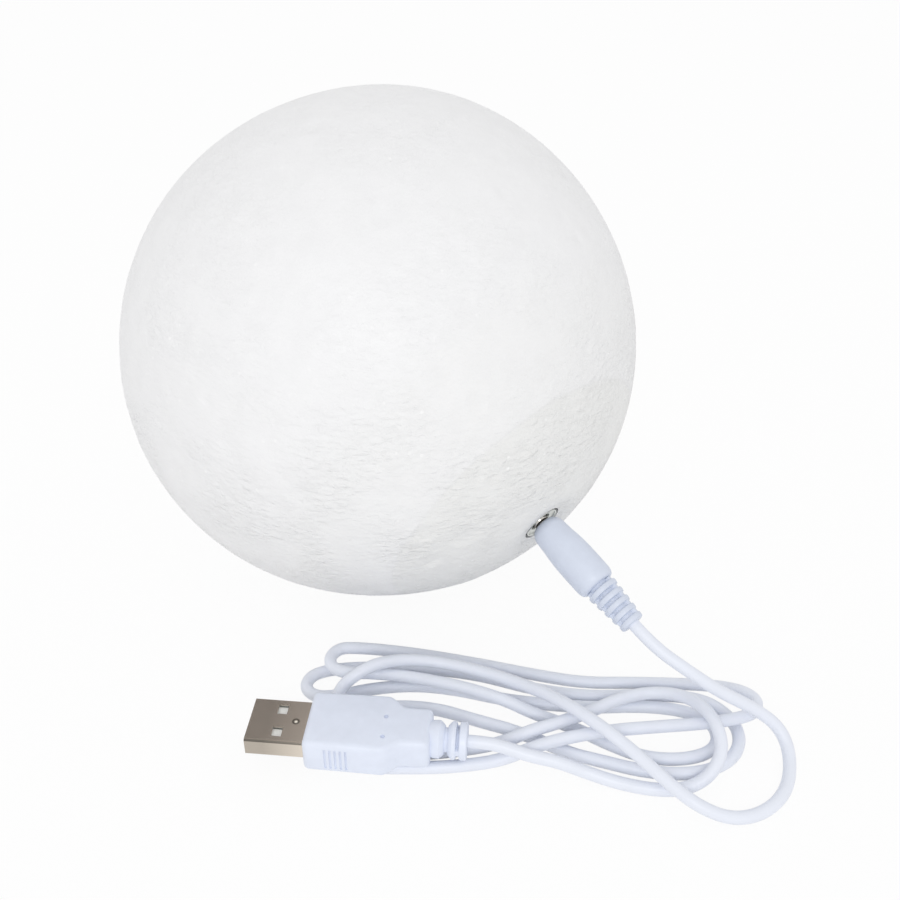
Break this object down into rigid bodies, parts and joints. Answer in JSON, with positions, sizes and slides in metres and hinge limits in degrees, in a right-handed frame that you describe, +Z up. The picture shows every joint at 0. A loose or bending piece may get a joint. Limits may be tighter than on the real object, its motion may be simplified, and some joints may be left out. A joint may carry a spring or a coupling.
{
  "type": "moon lamp",
  "caption": "Moon globe lamp: a translucent printed globe with a rechargeable light module behind a cap, and a thin USB charging cord that pulls out of its jack.",
  "frame": {"origin": "the globe's contact point with the floor, the bottom centre of the lamp without its cord", "axes": "+Z up; -X the way the USB plug points; the jack faces +X, -Y and 23 degrees down"},
  "size_m": [0.1573, 0.1456, 0.12],
  "materials": {
    "moon_print": "translucent white print with a fine grainy relief",
    "dark_insulator": "dark plastic",
    "touch_metal": "satin metal touch ring",
    "plug_metal": "bright nickel",
    "bright_contact": "bright tinned contact",
    "module_white": "moulded white plastic",
    "screw_steel": "plated steel",
    "board_green": "solder mask",
    "board_white": "white solder mask",
    "black_plastic": "moulded black plastic",
    "dark_ferrite": "pressed ferrite",
    "capacitor_tan": "fired ceramic",
    "foam_tape": "double-sided foam",
    "cell_wrap": "plain shrink wrap",
    "led_yellow": "phosphor in a clear package",
    "wire_red": "insulated wire",
    "wire_black": "insulated wire",
    "wire_white": "insulated wire",
    "plug_plastic": "soft white moulding with a satin skin",
    "cord_jacket": "smooth white jacket",
    "usb_metal": "nickel plated sheet",
    "usb_tongue_white": "white plastic",
    "gold_contact": "gold plated strip"
  },
  "bodies": {
    "cord_set": {"dc_barrel": "plug_metal", "dc_insulator": "dark_insulator", "dc_centre_contact": "bright_contact", "dc_plug_body": "plug_plastic", "dc_strain_relief": "plug_plastic", "cord_lead": "cord_jacket", "cord_hank": "cord_jacket", "usb_shell": "usb_metal", "usb_tongue": "usb_tongue_white", "usb_contacts": "gold_contact", "usb_overmould": "plug_plastic", "usb_strain_relief": "plug_plastic"},
    "centre_pin": {"jack_centre_pin": "bright_contact"},
    "lamp": {"moon_shell": "moon_print", "base_cap": "moon_print", "ring_insulator": "dark_insulator", "touch_ring": "touch_metal", "jack_body": "black_plastic", "jack_sleeve_contact": "bright_contact", "housing_cup": "module_white", "housing_lid": "module_white", "board_screws": "screw_steel", "lid_screws": "screw_steel", "main_pcb": "board_green", "control_chips": "black_plastic", "inductor": "dark_ferrite", "capacitors": "capacitor_tan", "battery_tape": "foam_tape", "battery_cell": "cell_wrap", "touch_wire": "wire_white", "led_board": "board_white", "led_chips": "led_yellow", "battery_wire_red": "wire_red", "battery_wire_black": "wire_black", "led_wire_red": "wire_red", "led_wire_black": "wire_black"}
  },
  "joints": [
    {"name": "unplug", "type": "slide", "parent": "cord_set", "child": "centre_pin", "axis": [-0.6894, 0.6099, 0.3907], "range_m": [0, 0.02]},
    {"name": "lamp_turn", "type": "hinge", "parent": "centre_pin", "child": "lamp", "pos_m": [0.03447, -0.0305, 0.04046], "axis": [0.6894, -0.6099, -0.3907], "continuous": true}
  ]
}
